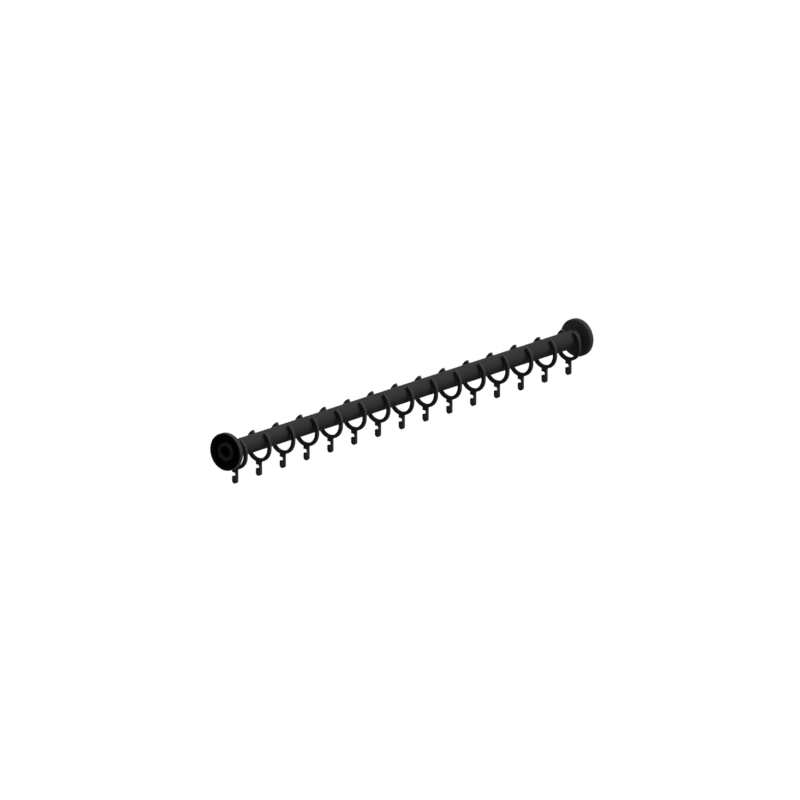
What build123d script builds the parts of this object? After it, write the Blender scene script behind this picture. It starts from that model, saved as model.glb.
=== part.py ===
from build123d import *

import os
from math import cos, radians, sin, sqrt

# A straight shower curtain rod between two walls: a tube with a socket bush in each end, a hollow cover
# flange that slides over each end, and a row of open clip-on rings that each carry a hook for the curtain.
# Millimetres. +X runs along the tube, +Z is up, and the origin is on the tube's axis at the left wall.

# Tube
WALL_TO_WALL = 1000.0
TUBE_DIAMETER = 32.0
TUBE_WALL = 2.0

# Clearance of covers and rings round the tube, and of the bush pressed into it
SLIDE_CLEARANCE = 0.3
PRESS_CLEARANCE = 0.05

# Socket bush in each end of the tube, which takes a spigot on the wall
SOCKET_DIAMETER = 22.0
BUSH_LENGTH = 40.0
BUSH_FLANGE = 3.0
BUSH_LEAD_IN = 1.0

# Grub screw under the tube, which clamps the spigot
SCREW_DIAMETER = 5.0
SCREW_FROM_WALL = 8.0
SCREW_RECESS = 0.4
SCREW_TIP_GAP = 0.6
SCREW_KEY_SIDES = 6
SCREW_KEY_WIDTH = 2.5
SCREW_KEY_DEPTH = 2.2
SCREW_THREAD_CLEARANCE = 0.05
SCREW_HOLE_CLEARANCE = 0.35

# Cover flange: a cup that is open to the wall, with a straight rim and a shallow cone round the tube
COVER_BRIM = 17.7
COVER_HEIGHT = 12.5
COVER_CONE_DROP = 2.3
COVER_EDGE_RADIUS = 3.0
COVER_THICKNESS = 2.0
COVER_NECK_LENGTH = 6.5
COVER_WALL_GAP = 0.3

# Rings: two half rounds with short straight sides between them, open at the top
RING_COUNT = 15
RING_FROM_WALL = 29.0
RING_SIDE_PLAY = 4.2
RING_SECTION = 6.5
RING_WIDTH = 5.6
RING_STRAIGHT = 6.0
RING_MOUTH_ANGLE = 60.0
RING_TIP_RADIUS = 1.2

# Hook under each ring: a block, a mouth open to the rear and a deep J-shaped slot below it
HOOK_WIDTH = 10.5
HOOK_STEM = 3.3
HOOK_TIP = 3.1
HOOK_BLOCK = 5.3
HOOK_MOUTH = 6.8
HOOK_DROP = 13.5
HOOK_MOUTH_RADIUS = 2.8
HOOK_ROOT_RADIUS = 1.5
HOOK_EDGE_RADIUS = 0.8

TUBE_RADIUS = TUBE_DIAMETER / 2
TUBE_BORE_RADIUS = TUBE_RADIUS - TUBE_WALL
SOCKET_RADIUS = SOCKET_DIAMETER / 2
SCREW_RADIUS = SCREW_DIAMETER / 2
RUNNING_RADIUS = TUBE_RADIUS + SLIDE_CLEARANCE
COVER_RADIUS = RUNNING_RADIUS + COVER_BRIM
RING_INNER_RADIUS = TUBE_RADIUS + RING_SIDE_PLAY
RING_OUTER_RADIUS = RING_INNER_RADIUS + RING_SECTION
RING_PITCH = (WALL_TO_WALL - 2 * RING_FROM_WALL) / (RING_COUNT - 1)

HALFWAY = Plane(origin=(WALL_TO_WALL / 2, 0, 0), z_dir=(1, 0, 0))
SCREW_PLACE = Plane(origin=(SCREW_FROM_WALL, 0, 0), x_dir=(1, 0, 0), z_dir=(0, 0, -1))


def at_right_end(solid):
    """The same piece at the right wall, as the mirror image of the left one."""
    return mirror(solid, about=HALFWAY)


def screw_hole(radius):
    """A cylinder from the tube's axis straight down through its wall, where the left grub screw sits."""
    return extrude(SCREW_PLACE * Circle(radius), TUBE_DIAMETER)


def rail_tube():
    """The tube between the two bush flanges, with a clearance hole for each grub screw in its underside."""
    section = Circle(TUBE_RADIUS) - Circle(TUBE_BORE_RADIUS)
    tube = extrude(Plane.YZ.offset(BUSH_FLANGE) * section, WALL_TO_WALL - 2 * BUSH_FLANGE)
    hole = screw_hole(SCREW_RADIUS + SCREW_HOLE_CLEARANCE)
    return tube - hole - at_right_end(hole)


def end_bush():
    """The left bush: a flange against the tube's end, a sleeve inside the tube and a socket through both."""
    sleeve_radius = TUBE_BORE_RADIUS - PRESS_CLEARANCE
    section = Polygon(
        (0, SOCKET_RADIUS),
        (0, TUBE_RADIUS),
        (BUSH_FLANGE, TUBE_RADIUS),
        (BUSH_FLANGE, sleeve_radius),
        (BUSH_LENGTH - BUSH_LEAD_IN, sleeve_radius),
        (BUSH_LENGTH, sleeve_radius - BUSH_LEAD_IN),
        (BUSH_LENGTH, SOCKET_RADIUS),
        align=None,
    )
    return revolve(section, axis=Axis.X) - screw_hole(SCREW_RADIUS + SCREW_THREAD_CLEARANCE)


def grub_screw():
    """The left grub screw, from just outside the socket to just under the tube's surface, with a hexagon key."""
    tip = SOCKET_RADIUS + SCREW_TIP_GAP
    head = TUBE_RADIUS - SCREW_RECESS
    shank = extrude(SCREW_PLACE.offset(tip) * Circle(SCREW_RADIUS), head - tip)
    key = RegularPolygon(SCREW_KEY_WIDTH / 2, SCREW_KEY_SIDES, major_radius=False)
    return shank - extrude(SCREW_PLACE.offset(head - SCREW_KEY_DEPTH) * key, SCREW_KEY_DEPTH)


def cover_face(radius):
    """Distance of the cover's outer cone from the wall at a radius from the tube's axis."""
    return COVER_HEIGHT - COVER_CONE_DROP * (radius - RUNNING_RADIUS) / COVER_BRIM


def cover():
    """The left cover: rim, rounded edge and shallow cone, hollow towards the wall, with a neck that guides it."""
    rim_inside = COVER_RADIUS - COVER_THICKNESS
    neck_outside = RUNNING_RADIUS + COVER_THICKNESS
    neck_end = COVER_HEIGHT - COVER_NECK_LENGTH
    edge = (cover_face(COVER_RADIUS), COVER_RADIUS)
    section = Polygon(
        (COVER_WALL_GAP, COVER_RADIUS),
        edge,
        (COVER_HEIGHT, RUNNING_RADIUS),
        (neck_end, RUNNING_RADIUS),
        (neck_end, neck_outside),
        (cover_face(neck_outside) - COVER_THICKNESS, neck_outside),
        (cover_face(rim_inside) - COVER_THICKNESS, rim_inside),
        (COVER_WALL_GAP, rim_inside),
        align=None,
    )
    section = fillet(section.vertices().sort_by_distance(edge)[0], COVER_EDGE_RADIUS)
    return revolve(section, axis=Axis.X)


def ring_top():
    """Height of the centre of the ring's upper half round, at which its tips lie one clearance from the tube."""
    half_mouth = radians(RING_MOUTH_ANGLE / 2)
    across = RING_INNER_RADIUS * sin(half_mouth)
    return sqrt(RUNNING_RADIUS**2 - across**2) - RING_INNER_RADIUS * cos(half_mouth)


def ring_outline():
    """The ring in its own plane: an upright slot shape with an open wedge at the top and rounded tips."""
    high = ring_top()
    middle = Pos(0, high - RING_STRAIGHT / 2)
    outside = middle * SlotCenterToCenter(RING_STRAIGHT, 2 * RING_OUTER_RADIUS, rotation=90)
    inside = middle * SlotCenterToCenter(RING_STRAIGHT, 2 * RING_INNER_RADIUS, rotation=90)
    half_mouth = radians(RING_MOUTH_ANGLE / 2)
    reach = 2 * RING_OUTER_RADIUS
    half_wide, top = reach * sin(half_mouth), high + reach * cos(half_mouth)
    mouth = Polygon((0, high), (half_wide, top), (-half_wide, top), align=None)
    clip = outside - inside - mouth
    return fillet(clip.vertices().sort_by(Axis.Y)[-4:], RING_TIP_RADIUS)


def block(left, right, low, high):
    """A rectangle in the ring's plane, given by its four sides."""
    return Pos(left, low) * Rectangle(right - left, high - low, align=Align.MIN)


def hook_outline(ring_bottom):
    """The hook in the ring's plane: a round-ended blade, less a round-ended slot with a mouth to the rear."""
    side = HOOK_WIDTH / 2
    stem_inside = HOOK_STEM - side
    tip_inside = side - HOOK_TIP
    slot_radius = (tip_inside - stem_inside) / 2
    block_top = ring_bottom + RING_SECTION / 2
    mouth_top = ring_bottom - HOOK_BLOCK
    mouth_bottom = mouth_top - HOOK_MOUTH
    bottom = mouth_bottom - HOOK_DROP
    slot_end = bottom + HOOK_STEM + slot_radius
    blade = Pos(0, bottom + side) * Circle(side) + block(-side, side, bottom + side, block_top)
    slot = Pos(stem_inside + slot_radius, slot_end) * Circle(slot_radius)
    slot += block(stem_inside, tip_inside, slot_end, mouth_top)
    slot += block(stem_inside, HOOK_WIDTH, mouth_bottom, mouth_top)
    slot = fillet(slot.vertices().sort_by_distance((stem_inside, mouth_top))[0], HOOK_MOUTH_RADIUS)
    slot = fillet(slot.vertices().sort_by_distance((tip_inside, mouth_bottom))[0], HOOK_EDGE_RADIUS)
    hook = blade - slot
    lips = [hook.vertices().sort_by_distance((side, level))[0] for level in (mouth_top, mouth_bottom)]
    return fillet(lips, HOOK_EDGE_RADIUS)


def curtain_ring():
    """One ring with its hook, moulded in one piece, with its middle plane at X = 0."""
    ring_bottom = ring_top() - RING_STRAIGHT - RING_OUTER_RADIUS
    outline = ring_outline() + hook_outline(ring_bottom)
    roots = [outline.vertices().sort_by_distance((y, ring_bottom))[0] for y in (-HOOK_WIDTH / 2, HOOK_WIDTH / 2)]
    outline = fillet(roots, HOOK_ROOT_RADIUS)
    return extrude(Plane.YZ.offset(-RING_WIDTH / 2) * outline, RING_WIDTH)


def build():
    """Every piece of the rod in its place, by name."""
    pieces = {"rail_tube": rail_tube()}
    for name, piece in (("end_bush", end_bush()), ("grub_screw", grub_screw()), ("cover", cover())):
        pieces[f"left_{name}"] = piece
        pieces[f"right_{name}"] = at_right_end(piece)
    ring = curtain_ring()
    for number in range(RING_COUNT):
        pieces[f"ring_{number + 1:02d}"] = Pos(RING_FROM_WALL + number * RING_PITCH, 0, 0) * ring
    return pieces


os.makedirs("parts", exist_ok=True)
for node, solid in build().items():
    export_step(solid, f"parts/{node}.step")
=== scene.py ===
"""Looks of a shower curtain rod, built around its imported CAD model.

The rod is a tube with a socket bush in each end, a cover flange that slides over each end, and a row of
open clip-on rings, each with a hook moulded in one piece with it. Metres and degrees. +X runs along the
tube, +Z is up, and the origin is on the tube's axis at the left wall.
"""

import logging
from abc import ABC, abstractmethod
from dataclasses import dataclass
from enum import Enum
from math import acos, asin, ceil, cos, degrees, radians, sin, sqrt

import bpy
import numpy as np
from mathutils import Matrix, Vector


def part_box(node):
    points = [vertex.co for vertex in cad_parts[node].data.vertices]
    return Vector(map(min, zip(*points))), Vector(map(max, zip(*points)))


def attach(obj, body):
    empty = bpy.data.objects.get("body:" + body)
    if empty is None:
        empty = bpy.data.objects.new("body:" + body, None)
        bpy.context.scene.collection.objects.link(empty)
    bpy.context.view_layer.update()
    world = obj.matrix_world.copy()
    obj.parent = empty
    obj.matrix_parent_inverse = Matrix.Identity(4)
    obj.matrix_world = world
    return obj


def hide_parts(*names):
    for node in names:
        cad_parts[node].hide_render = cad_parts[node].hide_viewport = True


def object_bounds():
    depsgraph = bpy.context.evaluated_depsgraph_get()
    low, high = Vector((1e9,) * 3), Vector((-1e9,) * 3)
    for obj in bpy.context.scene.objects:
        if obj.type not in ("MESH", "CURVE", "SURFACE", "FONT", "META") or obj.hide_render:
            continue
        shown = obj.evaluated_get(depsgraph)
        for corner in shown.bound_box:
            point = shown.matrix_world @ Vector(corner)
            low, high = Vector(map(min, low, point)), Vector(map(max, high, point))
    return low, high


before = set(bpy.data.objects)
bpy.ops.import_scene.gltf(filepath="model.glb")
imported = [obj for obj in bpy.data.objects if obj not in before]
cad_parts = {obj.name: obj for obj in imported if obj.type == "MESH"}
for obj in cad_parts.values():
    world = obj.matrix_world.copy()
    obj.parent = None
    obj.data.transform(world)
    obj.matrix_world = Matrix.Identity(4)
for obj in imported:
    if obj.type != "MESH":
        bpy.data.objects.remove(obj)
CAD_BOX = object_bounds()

Colour = tuple[float, float, float, float]
Socket = bpy.types.NodeSocket

# How far a chord may lie from the arc that it stands for
ROUND_SAG = 0.00001

# Name of the attribute that is 0 inside a cover's cup, where its coat paints shade, and 1 outside it
UNSHADED = "unshaded"

log = logging.getLogger("curtain_rod")


class End(Enum):
    """One of the rod's two ends."""

    LEFT = "left"
    RIGHT = "right"


@dataclass(frozen=True)
class Surface:
    """Points of a closed surface and their outward normals, as rows of three, and faces by point number."""

    points: np.ndarray
    normals: np.ndarray
    faces: list[list[int]]


@dataclass(frozen=True)
class Outline:
    """Points of a closed plane outline with their outward normals, as rows of two, counterclockwise."""

    points: np.ndarray
    normals: np.ndarray


@dataclass(frozen=True)
class Arc:
    """A round stretch of an outline between two angles in degrees. It is hollow where the angle falls."""

    centre: tuple[float, float]
    radius: float
    start: float
    end: float

    def sample(self) -> Outline:
        """Points at even angles, close enough that the chords leave the arc by no more than ROUND_SAG.

        A point is the centre plus the radius times (cos a, sin a). Its normal is (cos a, sin a), turned
        round on a hollow arc.

        Returns:
            The arc's points and normals in order.
        """
        step = 2 * acos(1 - ROUND_SAG / self.radius)
        count = ceil(abs(radians(self.end - self.start)) / step) + 1
        angle = np.radians(np.linspace(self.start, self.end, count))
        outward = np.column_stack((np.cos(angle), np.sin(angle)))
        side = np.sign(self.end - self.start)
        return Outline(np.array(self.centre) + self.radius * outward, side * outward)


def chain(arcs: list[Arc]) -> Outline:
    """Joins arcs into one outline, with a straight stretch from the end of each to the start of the next.

    Args:
        arcs: The outline's round stretches, counterclockwise round it.

    Returns:
        The closed outline.
    """
    samples = [arc.sample() for arc in arcs]
    return Outline(
        np.concatenate([sample.points for sample in samples]),
        np.concatenate([sample.normals for sample in samples]),
    )


def rounded_polygon(corners: np.ndarray, radii: np.ndarray, steps: int) -> Outline:
    """Rounds every corner of a polygon with an arc that is tangent to both of its sides.

    With h half the corner's angle, the arc of radius r starts and ends r / tan h from the corner, and its
    centre is r / sin h from it on the bisector. The points turn evenly from start to end about that centre.

    Args:
        corners: The polygon's corners, one row each, in either direction round it.
        radii: The radius at each corner.
        steps: Points on each arc.

    Returns:
        The rounded outline, counterclockwise.
    """
    following = np.roll(corners, -1, axis=0)
    area = np.sum(corners[:, 0] * following[:, 1] - corners[:, 1] * following[:, 0])
    if area < 0:
        corners, radii = corners[::-1], radii[::-1]
    back = np.roll(corners, 1, axis=0) - corners
    ahead = np.roll(corners, -1, axis=0) - corners
    back /= np.linalg.norm(back, axis=1, keepdims=True)
    ahead /= np.linalg.norm(ahead, axis=1, keepdims=True)
    half = np.arccos(np.sum(back * ahead, axis=1)) / 2
    bisector = back + ahead
    bisector /= np.linalg.norm(bisector, axis=1, keepdims=True)
    centres = corners + bisector * (radii / np.sin(half))[:, None]
    reach = (radii / np.tan(half))[:, None]
    first, last = corners + back * reach - centres, corners + ahead * reach - centres
    sweep = (np.pi - 2 * half)[:, None, None]
    share = np.linspace(0, 1, steps)[None, :, None]
    spokes = np.sin((1 - share) * sweep) * first[:, None] + np.sin(share * sweep) * last[:, None]
    spokes /= np.sin(sweep)
    bulge = np.sign(back[:, 1] * ahead[:, 0] - back[:, 0] * ahead[:, 1])[:, None, None]
    points = centres[:, None] + spokes
    normals = bulge * spokes / radii[:, None, None]
    return Outline(points.reshape(-1, 2), normals.reshape(-1, 2))


def grid_faces(rows: int, columns: int, rows_close: bool) -> list[list[int]]:
    """Quads of a grid of points, numbered row by row, whose rows are closed loops.

    Args:
        rows: Number of loops.
        columns: Points in each loop.
        rows_close: Whether the last loop joins the first.

    Returns:
        The quads as lists of point numbers.
    """
    number = np.arange(rows * columns).reshape(rows, columns)
    if rows_close:
        number = np.vstack((number, number[:1]))
    ahead = np.roll(number, -1, axis=1)
    return np.stack((number[:-1], ahead[:-1], ahead[1:], number[1:]), axis=-1).reshape(-1, 4).tolist()


def revolved(profile: Outline, segments: int) -> Surface:
    """Carries a closed profile once round the X axis.

    A profile point x along the axis and r from it goes, at angle t, to (x, r cos t, r sin t). Its normal
    turns with it.

    Args:
        profile: The section, as distance along the axis and distance from it.
        segments: Steps round the axis.

    Returns:
        The ring-shaped surface.
    """
    angle = np.linspace(0, 2 * np.pi, segments, endpoint=False)
    turn = np.stack((np.ones_like(angle), np.cos(angle), np.sin(angle)), axis=-1)[:, None, :]
    points = profile.points[None, :, [0, 1, 1]] * turn
    normals = profile.normals[None, :, [0, 1, 1]] * turn
    faces = grid_faces(segments, len(profile.points), rows_close=True)
    return Surface(points.reshape(-1, 3), normals.reshape(-1, 3), faces)


def shade(level: float) -> Colour:
    """A neutral shade of the given level, from 0 for black to 1 for white."""
    return level, level, level, 1


def noise(tree: bpy.types.NodeTree, place: Socket, size: float, detail: float) -> Socket:
    """Adds soft random spots.

    Args:
        tree: The material's nodes.
        place: Where on the surface.
        size: Width of a spot.
        detail: Number of finer layers over it.

    Returns:
        The noise's value, from 0 to 1.
    """
    node = tree.nodes.new("ShaderNodeTexNoise")
    node.inputs["Scale"].default_value = 1 / size
    node.inputs["Detail"].default_value = detail
    tree.links.new(place, node.inputs["Vector"])
    return node.outputs["Fac"]


@dataclass(frozen=True)
class Finish(ABC):
    """A surface finish: a colour that clouds a little, and a roughness and bump that follow its grain."""

    name: str
    slot: str
    dark: Colour
    light: Colour
    cloud_size: float = 0.012
    cloud_detail: float = 3.0
    smooth: float = 0.45
    rough: float = 0.6
    specular: float = 0.006
    metallic: float = 0.0
    grain_depth: float = 0.00002

    @abstractmethod
    def grain(self, tree: bpy.types.NodeTree, place: Socket) -> Socket:
        """The grain's height at a place on the surface.

        Args:
            tree: The material's nodes.
            place: Where on the surface.

        Returns:
            The height, from 0 to 1.
        """

    def colour(self, tree: bpy.types.NodeTree, place: Socket) -> Socket:
        """The colour at a place on the surface, between the dark and the light shade.

        Args:
            tree: The material's nodes.
            place: Where on the surface.

        Returns:
            The colour.
        """
        tone = tree.nodes.new("ShaderNodeMix")
        tone.data_type = "RGBA"
        tone.inputs["A"].default_value = self.dark
        tone.inputs["B"].default_value = self.light
        tree.links.new(noise(tree, place, self.cloud_size, self.cloud_detail), tone.inputs["Factor"])
        return tone.outputs["Result"]

    def gloss(self, tree: bpy.types.NodeTree, shader: bpy.types.ShaderNode) -> None:
        """Sets how strongly the surface mirrors its surroundings.

        Args:
            tree: The material's nodes, which this method does not use.
            shader: The shader among them.
        """
        shader.inputs["Specular IOR Level"].default_value = self.specular

    def material(self) -> bpy.types.Material:
        """The finish as a node material, made once and then shared by its pieces.

        Returns:
            The material.
        """
        made = bpy.data.materials.get(self.name)
        if made:
            return made
        made = bpy.data.materials.new(self.name)
        made.use_nodes = True
        tree = made.node_tree
        shader = tree.nodes["Principled BSDF"]
        shader.inputs["Metallic"].default_value = self.metallic
        self.gloss(tree, shader)
        place = tree.nodes.new("ShaderNodeTexCoord").outputs["Object"]
        grain = self.grain(tree, place)
        tree.links.new(self.colour(tree, place), shader.inputs["Base Color"])
        spread = tree.nodes.new("ShaderNodeMapRange")
        spread.inputs["To Min"].default_value = self.smooth
        spread.inputs["To Max"].default_value = self.rough
        tree.links.new(grain, spread.inputs["Value"])
        tree.links.new(spread.outputs["Result"], shader.inputs["Roughness"])
        bump = tree.nodes.new("ShaderNodeBump")
        bump.inputs["Distance"].default_value = self.grain_depth
        tree.links.new(grain, bump.inputs["Height"])
        tree.links.new(bump.outputs["Normal"], shader.inputs["Normal"])
        return made


@dataclass(frozen=True)
class PowderCoat(Finish):
    """Matt powder coat on metal, with the slight orange peel of a baked coat."""

    cloud_size: float = 0.04
    smooth: float = 0.5
    rough: float = 0.66
    grain_depth: float = 0.00003
    peel_size: float = 0.0012
    peel_detail: float = 1.5

    def grain(self, tree: bpy.types.NodeTree, place: Socket) -> Socket:
        """Round, even swells of the peel with a finer layer on them."""
        return noise(tree, place, self.peel_size, self.peel_detail)


@dataclass(frozen=True)
class PaintedCupShadeCoat(PowderCoat):
    """Powder coat with painted shade: the inside of a cup takes a darker, duller colour that stands in for
    the shade there.
    """

    smooth: float = 0.76
    rough: float = 0.9
    specular: float = 0.2
    # Painted shade: a darker colour and a duller gloss for the inside of the cup, standing in for the shade
    # that falls there
    cup_shade: Colour = shade(0.015)
    cup_shade_specular: float = 0.006

    def colour(self, tree: bpy.types.NodeTree, place: Socket) -> Socket:
        """The painted shade's colour where the unshaded attribute is 0, inside the cup, and the coat's
        where it is 1.

        Args:
            tree: The material's nodes.
            place: Where on the surface.

        Returns:
            The colour.
        """
        # Mixes the painted shade into the inside of the cup
        cover = tree.nodes.new("ShaderNodeMix")
        cover.data_type = "RGBA"
        cover.inputs["A"].default_value = self.cup_shade
        tree.links.new(super().colour(tree, place), cover.inputs["B"])
        tree.links.new(self.unshaded(tree), cover.inputs["Factor"])
        return cover.outputs["Result"]

    def gloss(self, tree: bpy.types.NodeTree, shader: bpy.types.ShaderNode) -> None:
        """Leads from the dull painted shade inside the cup to the coat's own gloss by the unshaded
        attribute.

        Args:
            tree: The material's nodes.
            shader: The shader among them.
        """
        sheen = tree.nodes.new("ShaderNodeMapRange")
        sheen.inputs["To Min"].default_value = self.cup_shade_specular
        sheen.inputs["To Max"].default_value = self.specular
        tree.links.new(self.unshaded(tree), sheen.inputs["Value"])
        tree.links.new(sheen.outputs["Result"], shader.inputs["Specular IOR Level"])

    def unshaded(self, tree: bpy.types.NodeTree) -> Socket:
        """The piece's own unshaded attribute, which marks where the cup's painted shade goes.

        Args:
            tree: The material's nodes.

        Returns:
            The value, 0 where the painted shade covers the piece.
        """
        node = tree.nodes.new("ShaderNodeAttribute")
        node.attribute_name = UNSHADED
        return node.outputs["Fac"]


@dataclass(frozen=True)
class MouldedPlastic(Finish):
    """Moulded plastic with the fine pits that a spark-eroded mould leaves."""

    pit_size: float = 0.0004

    def grain(self, tree: bpy.types.NodeTree, place: Socket) -> Socket:
        """Rounded pits, deepest at the middle of each cell of a random mesh.

        Args:
            tree: The material's nodes.
            place: Where on the surface.

        Returns:
            The height, from 0 to 1.
        """
        cells = tree.nodes.new("ShaderNodeTexVoronoi")
        cells.feature = "SMOOTH_F1"
        cells.inputs["Scale"].default_value = 1 / self.pit_size
        tree.links.new(place, cells.inputs["Vector"])
        return cells.outputs["Distance"]


@dataclass(frozen=True)
class TurnedSteel(Finish):
    """Blackened steel with the fine lines of turning round an upright axis."""

    cloud_size: float = 0.003
    smooth: float = 0.28
    rough: float = 0.45
    specular: float = 0.5
    metallic: float = 1.0
    grain_depth: float = 0.00001
    line_size: float = 0.00025
    line_detail: float = 2.0
    line_stretch: float = 12.0

    def grain(self, tree: bpy.types.NodeTree, place: Socket) -> Socket:
        """Lines across Z: noise that is drawn out along X and Y.

        Args:
            tree: The material's nodes.
            place: Where on the surface.

        Returns:
            The height, from 0 to 1.
        """
        drawn = tree.nodes.new("ShaderNodeMapping")
        drawn.inputs["Scale"].default_value = (1 / self.line_stretch, 1 / self.line_stretch, 1)
        tree.links.new(place, drawn.inputs["Vector"])
        return noise(tree, drawn.outputs["Vector"], self.line_size, self.line_detail)


RAIL_COAT = PowderCoat("rail_powder_coat", "rail_coat", dark=shade(0.032), light=shade(0.038))
# The cover's coat paints shade inside the cup: a darker, dull colour there, chosen by the unshaded
# attribute
COVER_COAT = PaintedCupShadeCoat("cover_powder_coat_with_painted_cup_shade", "cover_coat", dark=shade(0.023), light=shade(0.029))
RING_PLASTIC = MouldedPlastic("ring_plastic_satin", "ring_plastic", dark=shade(0.048), light=shade(0.056))
BUSH_PLASTIC = MouldedPlastic("bush_plastic_matt", "bush_plastic", dark=shade(0.044), light=shade(0.052))
SCREW_STEEL = TurnedSteel("screw_steel_blackened", "screw_steel", dark=shade(0.22), light=shade(0.34))


def add_piece(node: str, surface: Surface, finish: Finish, body: str) -> bpy.types.Object:
    """Puts a surface into the scene in place of a CAD node.

    Args:
        node: The CAD node that it stands for.
        surface: Its points, normals and faces.
        finish: Its finish.
        body: The CAD body that it moves with.

    Returns:
        The new object.
    """
    mesh = bpy.data.meshes.new(f"{node}_skin")
    mesh.from_pydata(surface.points.tolist(), [], surface.faces)
    mesh.polygons.foreach_set("use_smooth", np.ones(len(mesh.polygons), bool))
    mesh.normals_split_custom_set_from_vertices(surface.normals.tolist())
    mesh.materials.append(finish.material())
    piece = bpy.data.objects.new(f"{node}_skin", mesh)
    bpy.context.scene.collection.objects.link(piece)
    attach(piece, body)
    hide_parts(node)
    log.info("%s: %d faces in %s", piece.name, len(surface.faces), finish.name)
    return piece


def coat_node(node: str, finish: Finish) -> None:
    """Gives a CAD node that is shown as it is its finish.

    Args:
        node: The CAD node.
        finish: Its finish.
    """
    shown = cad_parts[node]
    shown.data.materials.clear()
    shown.data.materials.append(finish.material())
    log.info("%s: CAD node in %s", node, finish.name)


@dataclass
class Rail:
    """The tube with its two socket bushes and the grub screws under it, all as CAD nodes."""

    tube: str = "rail_tube"

    def dress(self) -> None:
        """Coats the tube, and gives the bushes and screws their plastic and steel."""
        coat_node(self.tube, RAIL_COAT)
        for end in End:
            coat_node(f"{end.value}_end_bush", BUSH_PLASTIC)
            coat_node(f"{end.value}_grub_screw", SCREW_STEEL)


@dataclass
class Cover:
    """A cover flange: a cup open to the wall, with a rounded edge and a shallow cone round the tube."""

    end: End
    thickness: float = 0.002
    running_clearance: float = 0.0001
    neck_length: float = 0.0065
    cone_drop: float = 0.0023
    edge_radius: float = 0.003
    lip_radius: float = 0.0006
    inner_radius: float = 0.0012
    corner_steps: int = 9
    segments: int = 192

    @property
    def node(self) -> str:
        """Name of the cover's CAD node and body."""
        return f"{self.end.value}_cover"

    def span(self) -> tuple[float, float]:
        """Places of the open mouth and of the front edge along the rod."""
        low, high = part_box(self.node)
        return (low.x, high.x) if self.end is End.LEFT else (high.x, low.x)

    def radii(self) -> tuple[float, float]:
        """Radius of the neck's bore and of the rim."""
        low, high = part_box("rail_tube")
        return (high.y - low.y) / 2 + self.running_clearance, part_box(self.node)[1].z

    def cone(self, radius: float | np.ndarray) -> float | np.ndarray:
        """Depth of the outer cone behind the front edge at a radius."""
        neck, rim = self.radii()
        return self.cone_drop * (radius - neck) / (rim - neck)

    def profile(self) -> Outline:
        """The section from the wall side: rim, edge, cone, neck, and the same again on the inside.

        Returns:
            The section as distance along the rod and distance from its axis.
        """
        mouth, front = self.span()
        neck, rim = self.radii()
        along = np.sign(front - mouth)
        rim_inside = rim - self.thickness
        neck_outside = neck + self.thickness
        corners = np.array((
            (mouth, rim),
            (front - along * self.cone(rim), rim),
            (front, neck),
            (front - along * self.neck_length, neck),
            (front - along * self.neck_length, neck_outside),
            (front - along * (self.cone(neck_outside) + self.thickness), neck_outside),
            (front - along * (self.cone(rim_inside) + self.thickness), rim_inside),
            (mouth, rim_inside),
        ))
        lip, inner = self.lip_radius, self.inner_radius
        radii = np.array((lip, self.edge_radius, lip, lip, lip, inner, inner, lip))
        return rounded_polygon(corners, radii, self.corner_steps)

    def unshaded_values(self, profile: Outline) -> np.ndarray:
        """Where the section stays free of painted shade: 1 on the outside of the cup and 0 inside it, where
        a darker colour stands in for the cup's shade.

        A point is inside where it lies more than half a wall behind the outer cone and more than half a
        wall within the rim.

        Args:
            profile: The section.

        Returns:
            A value for each point of the section.
        """
        along, radius = profile.points.T
        depth = np.abs(along - self.span()[1]) - self.cone(radius)
        half_wall = self.thickness / 2
        return np.where((depth > half_wall) & (radius < self.radii()[1] - half_wall), 0.0, 1.0)

    def build(self) -> bpy.types.Object:
        """Turns the section round the tube, coats it, and marks the inside of the cup, where the coat
        paints shade.

        Returns:
            The cover.
        """
        profile = self.profile()
        piece = add_piece(self.node, revolved(profile, self.segments), COVER_COAT, self.node)
        # The attribute is 0 inside the cup, where the coat paints a darker shade in place of the cup's own
        # shade
        unshaded = piece.data.attributes.new(UNSHADED, "FLOAT", "POINT")
        unshaded.data.foreach_set("value", np.tile(self.unshaded_values(profile), self.segments))
        return piece


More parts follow.
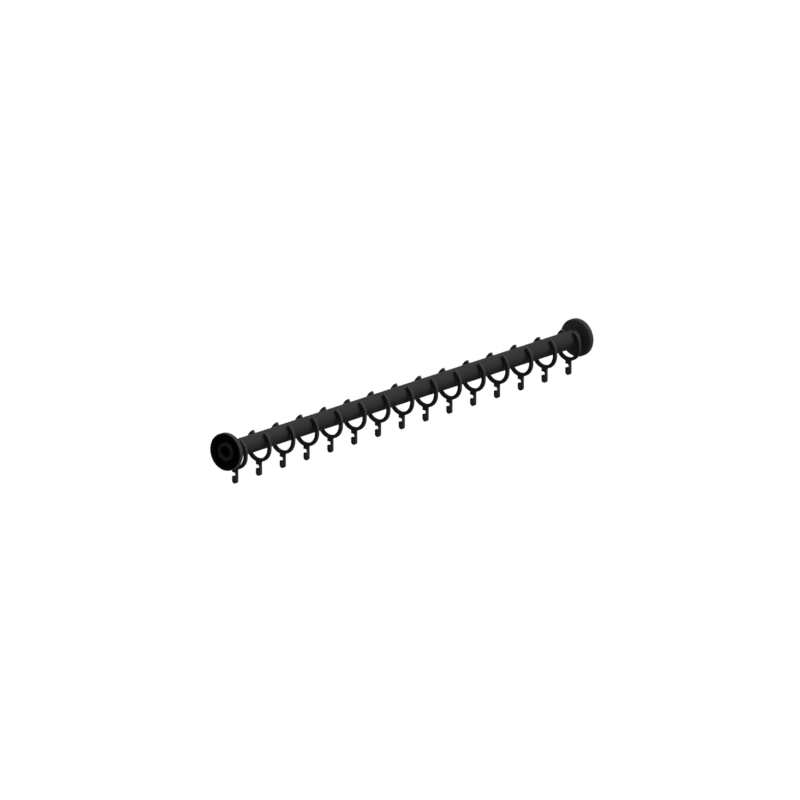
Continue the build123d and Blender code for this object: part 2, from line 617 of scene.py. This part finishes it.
@dataclass
class CurtainRing:
    """A clip-on ring, open at the top, with a block, a mouth to the rear and a J-shaped hook under it."""

    node: str
    section: float = 0.0065
    straight: float = 0.006
    mouth_angle: float = 60.0
    tip_radius: float = 0.0012
    hook_width: float = 0.0105
    hook_stem: float = 0.0033
    hook_tip: float = 0.0031
    hook_block: float = 0.0053
    hook_mouth: float = 0.0068
    hook_drop: float = 0.0135
    mouth_radius: float = 0.0028
    root_radius: float = 0.0015
    lip_radius: float = 0.0008
    edge_radius: float = 0.0005
    hook_edge_radius: float = 0.0002
    edge_steps: int = 6
    parting_width: float = 0.0005
    parting_height: float = 0.00005
    parting_steps: int = 5

    def outline(self, outer: float, bottom: float) -> Outline:
        """The ring and hook in their own plane, as arcs that straight stretches join.

        Args:
            outer: Outer radius of the ring.
            bottom: Height of the hook's lowest point.

        Returns:
            The outline as distance across the rod and height.
        """
        side = self.hook_width / 2
        slot = (self.hook_width - self.hook_stem - self.hook_tip) / 2
        middle = (self.hook_stem - self.hook_tip) / 2
        tip_top = bottom + self.hook_drop
        block_low = tip_top + self.hook_mouth
        low = block_low + self.hook_block + outer
        high = low + self.straight
        inner = outer - self.section
        slot_end = bottom + self.hook_stem + slot
        tip, root, lip, mouth = self.tip_radius, self.root_radius, self.lip_radius, self.mouth_radius
        root_turn = degrees(asin((side + root) / (outer + root)))
        root_height = low - sqrt((outer + root) ** 2 - (side + root) ** 2)
        cut = 90 - self.mouth_angle / 2
        outer_turn = degrees(asin(tip / (outer - tip)))
        inner_turn = degrees(asin(tip / (inner + tip)))

        def spoke(length: float, angle: float) -> tuple[float, float]:
            """The point at a distance and angle from the centre of the ring's upper half round."""
            return length * cos(radians(angle)), high + length * sin(radians(angle))

        outside_front = [
            Arc((0, high), outer, 180 - cut + outer_turn, 180),
            Arc((0, low), outer, 180, 270 - root_turn),
            Arc((-side - root, root_height), root, 90 - root_turn, 0),
        ]
        hook = [
            Arc((0, bottom + side), side, 180, 360),
            Arc((side - lip, tip_top - lip), lip, 0, 90),
            Arc((middle + slot + lip, tip_top - lip), lip, 90, 180),
            Arc((middle, slot_end), slot, 0, -180),
            Arc((middle - slot + mouth, block_low - mouth), mouth, 180, 90),
            Arc((side - lip, block_low + lip), lip, -90, 0),
        ]
        outside_rear = [
            Arc((side + root, root_height), root, 180, 90 + root_turn),
            Arc((0, low), outer, 270 + root_turn, 360),
            Arc((0, high), outer, 0, cut - outer_turn),
        ]
        rear_tip = [
            Arc(spoke(outer - tip, cut - outer_turn), tip, cut - outer_turn, cut + 90),
            Arc(spoke(inner + tip, cut - inner_turn), tip, cut + 90, cut + 180 - inner_turn),
        ]
        inside = [
            Arc((0, high), inner, cut - inner_turn, 0),
            Arc((0, low), inner, 0, -180),
            Arc((0, high), inner, 180, 180 - cut + inner_turn),
        ]
        front_tip = [
            Arc(spoke(inner + tip, 180 - cut + inner_turn), tip, inner_turn - cut, 90 - cut),
            Arc(spoke(outer - tip, 180 - cut + outer_turn), tip, 90 - cut, 180 - cut + outer_turn),
        ]
        return chain(outside_front + hook + outside_rear + rear_tip + inside + front_tip)

    def edge_radii(self, height: np.ndarray, bottom: float) -> np.ndarray:
        """Radius of the edge all along the outline: full on the ring, small on the hook, even between them.

        With c the height within the block that joins the two, from 0 to 1, it is the hook's radius plus c
        times the difference.

        Args:
            height: Height of each point of the outline.
            bottom: Height of the hook's lowest point.

        Returns:
            The radius at each point.
        """
        block_low = bottom + self.hook_drop + self.hook_mouth
        climb = np.clip((height - block_low) / self.hook_block, 0, 1)
        return self.hook_edge_radius + climb * (self.edge_radius - self.hook_edge_radius)

    def edge(self, width: float, radii: np.ndarray) -> tuple[np.ndarray, np.ndarray, np.ndarray]:
        """The section across the ring's wall: two rounded edges with a faint parting ridge between them.

        On an edge of radius r, at angle a from the outline's normal, a point lies r sin a towards the face
        and r - r cos a inwards. The ridge is one swell of a cosine.

        Args:
            width: The ring's width along the rod.
            radii: The edge's radius at each point of the outline.

        Returns:
            Place along the rod from the middle and depth inside the outline, with a row for each step
            across the wall and a column for each point of the outline, and the normal's turn towards +X at
            each step.
        """
        turn = np.linspace(0, np.pi / 2, self.edge_steps)
        edge_place = width / 2 - np.outer(1 - np.sin(turn), radii)
        edge_depth = self.parting_height + np.outer(1 - np.cos(turn), radii)
        swell = np.linspace(-np.pi, np.pi, self.parting_steps)
        half = self.parting_width / 2
        ridge_place = np.outer(half * swell / np.pi, np.ones_like(radii))
        ridge_depth = np.outer(self.parting_height * (1 - np.cos(swell)) / 2, np.ones_like(radii))
        ridge_turn = np.arctan(self.parting_height * np.pi / half * np.sin(swell) / 2)
        return (
            np.concatenate((-edge_place[::-1], ridge_place, edge_place)),
            np.concatenate((edge_depth[::-1], ridge_depth, edge_depth)),
            np.concatenate((-turn[::-1], ridge_turn, turn)),
        )

    def surface(self) -> Surface:
        """Carries the wall's section round the outline and closes both faces.

        A point is the outline's point, moved in along its normal by the section's depth, at the section's
        place along the rod. The two faces are flat and bounded by the section's first and last loops.

        Returns:
            The ring's closed surface in its place on the rod.
        """
        low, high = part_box(self.node)
        outline = self.outline((high.y - low.y) / 2, low.z)
        place, depth, turn = self.edge(high.x - low.x, self.edge_radii(outline.points[:, 1], low.z))
        count = len(outline.points)
        across = outline.points[None] - depth[:, :, None] * outline.normals[None]
        along = (low.x + high.x) / 2 + place[:, :, None]
        points = np.concatenate((along, across), axis=2)
        tilt = np.broadcast_to(np.sin(turn)[:, None, None], (len(place), count, 1))
        normals = np.concatenate((tilt, np.cos(turn)[:, None, None] * outline.normals[None]), axis=2)
        first = np.arange(count)
        last = first + (len(place) - 1) * count
        faces = grid_faces(len(place), count, rows_close=False) + [first[::-1].tolist(), last.tolist()]
        return Surface(points.reshape(-1, 3), normals.reshape(-1, 3), faces)

    def build(self) -> bpy.types.Object:
        """Makes the ring in its plastic, on its own body."""
        return add_piece(self.node, self.surface(), RING_PLASTIC, self.node)


@dataclass(frozen=True)
class Lamp:
    """A soft distant light, even along the rod, with the direction towards it and its spread in degrees."""

    name: str
    strength: float
    direction: tuple[float, float, float]
    spread: float

    def build(self) -> bpy.types.Object:
        """Adds the lamp to the scene.

        Returns:
            The lamp.
        """
        light = bpy.data.lights.new(self.name, "SUN")
        light.energy = self.strength
        light.angle = radians(self.spread)
        lamp = bpy.data.objects.new(self.name, light)
        lamp.rotation_mode = "QUATERNION"
        lamp.rotation_quaternion = Vector(self.direction).to_track_quat("Z", "Y")
        bpy.context.scene.collection.objects.link(lamp)
        return lamp


@dataclass
class Studio:
    """A pale floor far below the rod, a broad soft key light, a weak rear light and the photo's camera."""

    floor_drop: float = 2.0
    floor_radius: float = 14.0
    floor_segments: int = 96
    floor_colour: Colour = shade(0.8)
    floor_glow: float = 0.2
    floor_bounce: Colour = shade(0.11)
    backdrop: Colour = shade(1.0)
    ambient: Colour = shade(0.002)
    lamps: tuple[Lamp, ...] = (
        Lamp("key", strength=3.6, direction=(0.32, -0.48, 0.82), spread=80.0),
        Lamp("rear", strength=0.65, direction=(-0.24, 0.84, 0.49), spread=40.0),
    )
    camera_azimuth: float = -51.5
    camera_elevation: float = 15.03
    camera_distance: float = 4.0
    camera_reach: float = 100.0
    image_side: float = 800.0
    metres_per_pixel: float = 0.00176
    left_wall_pixel: tuple[float, float] = (224.95, 452.2)

    def seen(self, tree: bpy.types.NodeTree) -> Socket:
        """1 where a camera, glossy or transmission ray arrives, and 0 for the light that falls on the rod.

        Args:
            tree: The nodes of the floor's material or the world.

        Returns:
            The value.
        """
        path = tree.nodes.new("ShaderNodeLightPath")
        value = path.outputs["Is Camera Ray"]
        for kind in ("Is Glossy Ray", "Is Transmission Ray"):
            either = tree.nodes.new("ShaderNodeMath")
            either.operation = "MAXIMUM"
            tree.links.new(value, either.inputs[0])
            tree.links.new(path.outputs[kind], either.inputs[1])
            value = either.outputs["Value"]
        return value

    def build_floor(self) -> bpy.types.Object:
        """A flat disc of paper, which is white where it is seen and pale grey where it lights the rod.

        With t the angle, the edge is at (R cos t, R sin t) about the middle of the rod.

        Returns:
            The floor.
        """
        middle = (CAD_BOX[0] + CAD_BOX[1]) / 2
        angle = np.linspace(0, 2 * np.pi, self.floor_segments, endpoint=False)
        points = np.column_stack((
            middle.x + self.floor_radius * np.cos(angle),
            middle.y + self.floor_radius * np.sin(angle),
            np.full(self.floor_segments, -self.floor_drop),
        ))
        mesh = bpy.data.meshes.new("floor")
        mesh.from_pydata(points.tolist(), [], [list(range(self.floor_segments))])
        mesh.materials.append(self.floor_material())
        floor = bpy.data.objects.new("floor", mesh)
        bpy.context.scene.collection.objects.link(floor)
        return floor

    def floor_material(self) -> bpy.types.Material:
        """Pale paper that takes shadows, with a glow for the rays that see it.

        Returns:
            The material.
        """
        made = bpy.data.materials.new("floor_paper")
        made.use_nodes = True
        tree = made.node_tree
        tree.nodes.remove(tree.nodes["Principled BSDF"])
        paper = tree.nodes.new("ShaderNodeBsdfDiffuse")
        paper.inputs["Color"].default_value = self.floor_colour
        glow = tree.nodes.new("ShaderNodeEmission")
        glow.inputs["Strength"].default_value = self.floor_glow
        both = tree.nodes.new("ShaderNodeAddShader")
        tree.links.new(paper.outputs["BSDF"], both.inputs[0])
        tree.links.new(glow.outputs["Emission"], both.inputs[1])
        bounce = tree.nodes.new("ShaderNodeBsdfDiffuse")
        bounce.inputs["Color"].default_value = self.floor_bounce
        pick = tree.nodes.new("ShaderNodeMixShader")
        tree.links.new(self.seen(tree), pick.inputs["Fac"])
        tree.links.new(bounce.outputs["BSDF"], pick.inputs[1])
        tree.links.new(both.outputs["Shader"], pick.inputs[2])
        tree.links.new(pick.outputs["Shader"], tree.nodes["Material Output"].inputs["Surface"])
        return made

    def build_world(self) -> None:
        """A white surround where it is seen, and a dim even light on the rod."""
        world = bpy.data.worlds.new("studio")
        bpy.context.scene.world = world
        world.use_nodes = True
        tree = world.node_tree
        tree.nodes.clear()
        dim = tree.nodes.new("ShaderNodeBackground")
        dim.inputs["Color"].default_value = self.ambient
        white = tree.nodes.new("ShaderNodeBackground")
        white.inputs["Color"].default_value = self.backdrop
        pick = tree.nodes.new("ShaderNodeMixShader")
        tree.links.new(self.seen(tree), pick.inputs["Fac"])
        tree.links.new(dim.outputs["Background"], pick.inputs[1])
        tree.links.new(white.outputs["Background"], pick.inputs[2])
        output = tree.nodes.new("ShaderNodeOutputWorld")
        tree.links.new(pick.outputs["Shader"], output.inputs["Surface"])

    def build_camera(self) -> bpy.types.Object:
        """A parallel camera that puts the middle of the left wall face on its pixel of the photo.

        Returns:
            The camera.
        """
        azimuth, elevation = radians(self.camera_azimuth), radians(self.camera_elevation)
        right = Vector((cos(azimuth), sin(azimuth), 0))
        back = Vector((sin(azimuth) * cos(elevation), -cos(azimuth) * cos(elevation), sin(elevation)))
        upward = back.cross(right)
        half = self.image_side / 2
        across = (half - self.left_wall_pixel[0]) * self.metres_per_pixel
        above = (self.left_wall_pixel[1] - half) * self.metres_per_pixel
        lens = bpy.data.cameras.new("camera")
        lens.type = "ORTHO"
        lens.ortho_scale = self.image_side * self.metres_per_pixel
        lens.clip_end = self.camera_reach
        camera = bpy.data.objects.new("camera", lens)
        camera.rotation_mode = "QUATERNION"
        camera.rotation_quaternion = (-back).to_track_quat("-Z", "Y")
        camera.location = right * across + upward * above + back * self.camera_distance
        bpy.context.scene.collection.objects.link(camera)
        bpy.context.scene.camera = camera
        return camera

    def build(self) -> None:
        """Makes the floor, world, lamps and camera, and sets the plain view transform."""
        self.build_floor()
        self.build_world()
        for lamp in self.lamps:
            lamp.build()
        self.build_camera()
        bpy.context.scene.view_settings.view_transform = "Standard"
        log.info("studio: floor %.1f m below the rod", self.floor_drop)


def main() -> None:
    """Builds the studio and every piece of the rod."""
    logging.basicConfig(level=logging.INFO, format="%(name)s %(message)s")
    Studio().build()
    Rail().dress()
    for end in End:
        Cover(end).build()
    for node in sorted(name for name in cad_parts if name.startswith("ring_")):
        CurtainRing(node).build()


if __name__ == "__main__":
    main()
